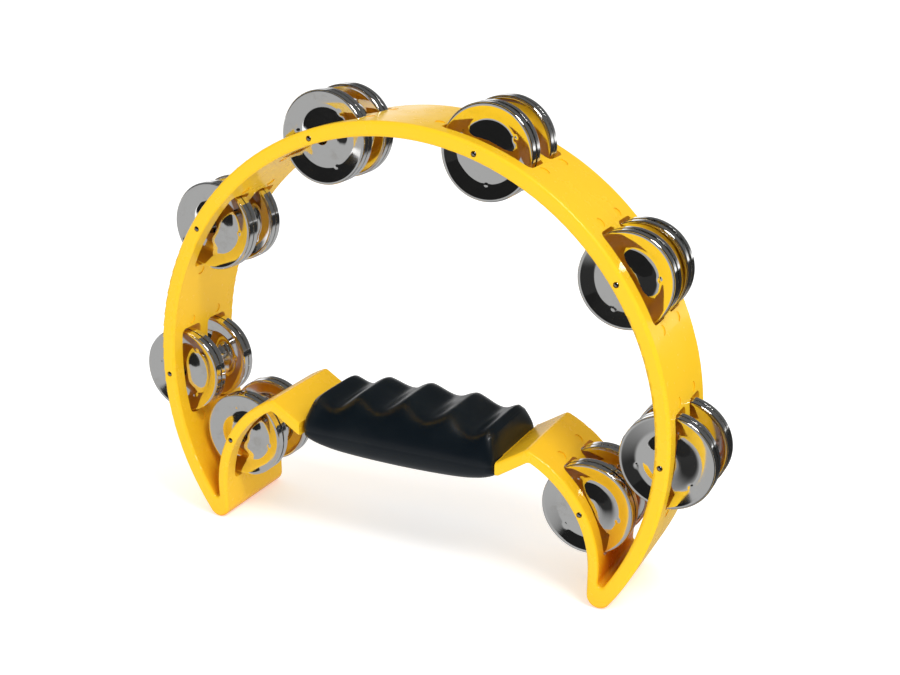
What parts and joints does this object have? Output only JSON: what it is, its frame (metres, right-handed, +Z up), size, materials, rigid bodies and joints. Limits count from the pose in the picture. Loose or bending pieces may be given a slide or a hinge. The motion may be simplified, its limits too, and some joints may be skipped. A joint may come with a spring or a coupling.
{
  "type": "tambourine",
  "caption": "Half-moon hand tambourine: a slotted plastic hoop with a padded handle bar and pairs of loose metal jingles on pins.",
  "frame": {"origin": "on the ground plane under the middle of the frame, level with its two tips", "axes": "+X to the right as the pin heads are seen, +Y from the pin-head side to the back, along the pins, +Z up"},
  "size_m": [0.2832, 0.049, 0.2086],
  "materials": {
    "frame_plastic": "glossy moulded ABS, saturated warm yellow",
    "grip_rubber": "satin black rubber",
    "pin_steel": "polished steel",
    "jingle_metal": "bright nickel plate"
  },
  "bodies": {
    "frame": {"frame": "frame_plastic", "grip": "grip_rubber", "pin_top_left": "pin_steel", "pin_top_right": "pin_steel", "pin_upper_left": "pin_steel", "pin_upper_right": "pin_steel", "pin_side_left": "pin_steel", "pin_side_right": "pin_steel", "pin_arm_left": "pin_steel", "pin_arm_right": "pin_steel"},
    "jingle_top_left_1": {"jingle_top_left_1": "jingle_metal"},
    "jingle_top_left_2": {"jingle_top_left_2": "jingle_metal"},
    "jingle_top_left_3": {"jingle_top_left_3": "jingle_metal"},
    "jingle_top_left_4": {"jingle_top_left_4": "jingle_metal"},
    "jingle_top_right_1": {"jingle_top_right_1": "jingle_metal"},
    "jingle_top_right_2": {"jingle_top_right_2": "jingle_metal"},
    "jingle_top_right_3": {"jingle_top_right_3": "jingle_metal"},
    "jingle_top_right_4": {"jingle_top_right_4": "jingle_metal"},
    "jingle_upper_left_1": {"jingle_upper_left_1": "jingle_metal"},
    "jingle_upper_left_2": {"jingle_upper_left_2": "jingle_metal"},
    "jingle_upper_left_3": {"jingle_upper_left_3": "jingle_metal"},
    "jingle_upper_left_4": {"jingle_upper_left_4": "jingle_metal"},
    "jingle_upper_right_1": {"jingle_upper_right_1": "jingle_metal"},
    "jingle_upper_right_2": {"jingle_upper_right_2": "jingle_metal"},
    "jingle_upper_right_3": {"jingle_upper_right_3": "jingle_metal"},
    "jingle_upper_right_4": {"jingle_upper_right_4": "jingle_metal"},
    "jingle_side_left_1": {"jingle_side_left_1": "jingle_metal"},
    "jingle_side_left_2": {"jingle_side_left_2": "jingle_metal"},
    "jingle_side_left_3": {"jingle_side_left_3": "jingle_metal"},
    "jingle_side_left_4": {"jingle_side_left_4": "jingle_metal"},
    "jingle_side_right_1": {"jingle_side_right_1": "jingle_metal"},
    "jingle_side_right_2": {"jingle_side_right_2": "jingle_metal"},
    "jingle_side_right_3": {"jingle_side_right_3": "jingle_metal"},
    "jingle_side_right_4": {"jingle_side_right_4": "jingle_metal"},
    "jingle_arm_left_1": {"jingle_arm_left_1": "jingle_metal"},
    "jingle_arm_left_2": {"jingle_arm_left_2": "jingle_metal"},
    "jingle_arm_left_3": {"jingle_arm_left_3": "jingle_metal"},
    "jingle_arm_left_4": {"jingle_arm_left_4": "jingle_metal"},
    "jingle_arm_right_1": {"jingle_arm_right_1": "jingle_metal"},
    "jingle_arm_right_2": {"jingle_arm_right_2": "jingle_metal"},
    "jingle_arm_right_3": {"jingle_arm_right_3": "jingle_metal"},
    "jingle_arm_right_4": {"jingle_arm_right_4": "jingle_metal"}
  },
  "joints": [
    {"name": "jingle_top_left_1_slide", "type": "slide", "parent": "frame", "child": "jingle_top_left_1", "axis": [0, 1, 0], "range_m": [-0.0026, 0.00015]},
    {"name": "jingle_top_left_2_slide", "type": "slide", "parent": "frame", "child": "jingle_top_left_2", "axis": [0, 1, 0], "range_m": [-0.00015, 0.0018]},
    {"name": "jingle_top_left_3_slide", "type": "slide", "parent": "frame", "child": "jingle_top_left_3", "axis": [0, 1, 0], "range_m": [-0.0014, 0.00025]},
    {"name": "jingle_top_left_4_slide", "type": "slide", "parent": "frame", "child": "jingle_top_left_4", "axis": [0, 1, 0], "range_m": [-0.00025, 0.0028]},
    {"name": "jingle_top_right_1_slide", "type": "slide", "parent": "frame", "child": "jingle_top_right_1", "axis": [0, 1, 0], "range_m": [-0.0033, 0.00065]},
    {"name": "jingle_top_right_2_slide", "type": "slide", "parent": "frame", "child": "jingle_top_right_2", "axis": [0, 1, 0], "range_m": [-0.00065, 0.0001]},
    {"name": "jingle_top_right_3_slide", "type": "slide", "parent": "frame", "child": "jingle_top_right_3", "axis": [0, 1, 0], "range_m": [-0.0025, 0.00015]},
    {"name": "jingle_top_right_4_slide", "type": "slide", "parent": "frame", "child": "jingle_top_right_4", "axis": [0, 1, 0], "range_m": [-0.00015, 0.0019]},
    {"name": "jingle_upper_left_1_slide", "type": "slide", "parent": "frame", "child": "jingle_upper_left_1", "axis": [0, 1, 0], "range_m": [-0.003, 0.00015]},
    {"name": "jingle_upper_left_2_slide", "type": "slide", "parent": "frame", "child": "jingle_upper_left_2", "axis": [0, 1, 0], "range_m": [-0.00015, 0.0014]},
    {"name": "jingle_upper_left_3_slide", "type": "slide", "parent": "frame", "child": "jingle_upper_left_3", "axis": [0, 1, 0], "range_m": [-0.0011, 0.00015]},
    {"name": "jingle_upper_left_4_slide", "type": "slide", "parent": "frame", "child": "jingle_upper_left_4", "axis": [0, 1, 0], "range_m": [-0.00015, 0.0033]},
    {"name": "jingle_upper_right_1_slide", "type": "slide", "parent": "frame", "child": "jingle_upper_right_1", "axis": [0, 1, 0], "range_m": [-0.003, 0.0007]},
    {"name": "jingle_upper_right_2_slide", "type": "slide", "parent": "frame", "child": "jingle_upper_right_2", "axis": [0, 1, 0], "range_m": [-0.0007, 0.0003]},
    {"name": "jingle_upper_right_3_slide", "type": "slide", "parent": "frame", "child": "jingle_upper_right_3", "axis": [0, 1, 0], "range_m": [-0.0002, 0.00125]},
    {"name": "jingle_upper_right_4_slide", "type": "slide", "parent": "frame", "child": "jingle_upper_right_4", "axis": [0, 1, 0], "range_m": [-0.00125, 0.002]},
    {"name": "jingle_side_left_1_slide", "type": "slide", "parent": "frame", "child": "jingle_side_left_1", "axis": [0, 1, 0], "range_m": [-0.001, 0.00025]},
    {"name": "jingle_side_left_2_slide", "type": "slide", "parent": "frame", "child": "jingle_side_left_2", "axis": [0, 1, 0], "range_m": [-0.00025, 0.0032]},
    {"name": "jingle_side_left_3_slide", "type": "slide", "parent": "frame", "child": "jingle_side_left_3", "axis": [0, 1, 0], "range_m": [-0.0036, 0.00025]},
    {"name": "jingle_side_left_4_slide", "type": "slide", "parent": "frame", "child": "jingle_side_left_4", "axis": [0, 1, 0], "range_m": [-0.00025, 0.0006]},
    {"name": "jingle_side_right_1_slide", "type": "slide", "parent": "frame", "child": "jingle_side_right_1", "axis": [0, 1, 0], "range_m": [-0.0007, 0.00025]},
    {"name": "jingle_side_right_2_slide", "type": "slide", "parent": "frame", "child": "jingle_side_right_2", "axis": [0, 1, 0], "range_m": [-0.00025, 0.0035]},
    {"name": "jingle_side_right_3_slide", "type": "slide", "parent": "frame", "child": "jingle_side_right_3", "axis": [0, 1, 0], "range_m": [-0.0002, 0.0002]},
    {"name": "jingle_side_right_4_slide", "type": "slide", "parent": "frame", "child": "jingle_side_right_4", "axis": [0, 1, 0], "range_m": [-0.0002, 0.0041]},
    {"name": "jingle_arm_left_1_slide", "type": "slide", "parent": "frame", "child": "jingle_arm_left_1", "axis": [0, 1, 0], "range_m": [-0.0018, 0.00035]},
    {"name": "jingle_arm_left_2_slide", "type": "slide", "parent": "frame", "child": "jingle_arm_left_2", "axis": [0, 1, 0], "range_m": [-0.00035, 0.0022]},
    {"name": "jingle_arm_left_3_slide", "type": "slide", "parent": "frame", "child": "jingle_arm_left_3", "axis": [0, 1, 0], "range_m": [-0.0036, 0.0003]},
    {"name": "jingle_arm_left_4_slide", "type": "slide", "parent": "frame", "child": "jingle_arm_left_4", "axis": [0, 1, 0], "range_m": [-0.0003, 0.0005]},
    {"name": "jingle_arm_right_1_slide", "type": "slide", "parent": "frame", "child": "jingle_arm_right_1", "axis": [0, 1, 0], "range_m": [-0.0003, 0.0004]},
    {"name": "jingle_arm_right_2_slide", "type": "slide", "parent": "frame", "child": "jingle_arm_right_2", "axis": [0, 1, 0], "range_m": [-0.0004, 0.0036]},
    {"name": "jingle_arm_right_3_slide", "type": "slide", "parent": "frame", "child": "jingle_arm_right_3", "axis": [0, 1, 0], "range_m": [-0.0002, 0.0002]},
    {"name": "jingle_arm_right_4_slide", "type": "slide", "parent": "frame", "child": "jingle_arm_right_4", "axis": [0, 1, 0], "range_m": [-0.0002, 0.0041]}
  ]
}
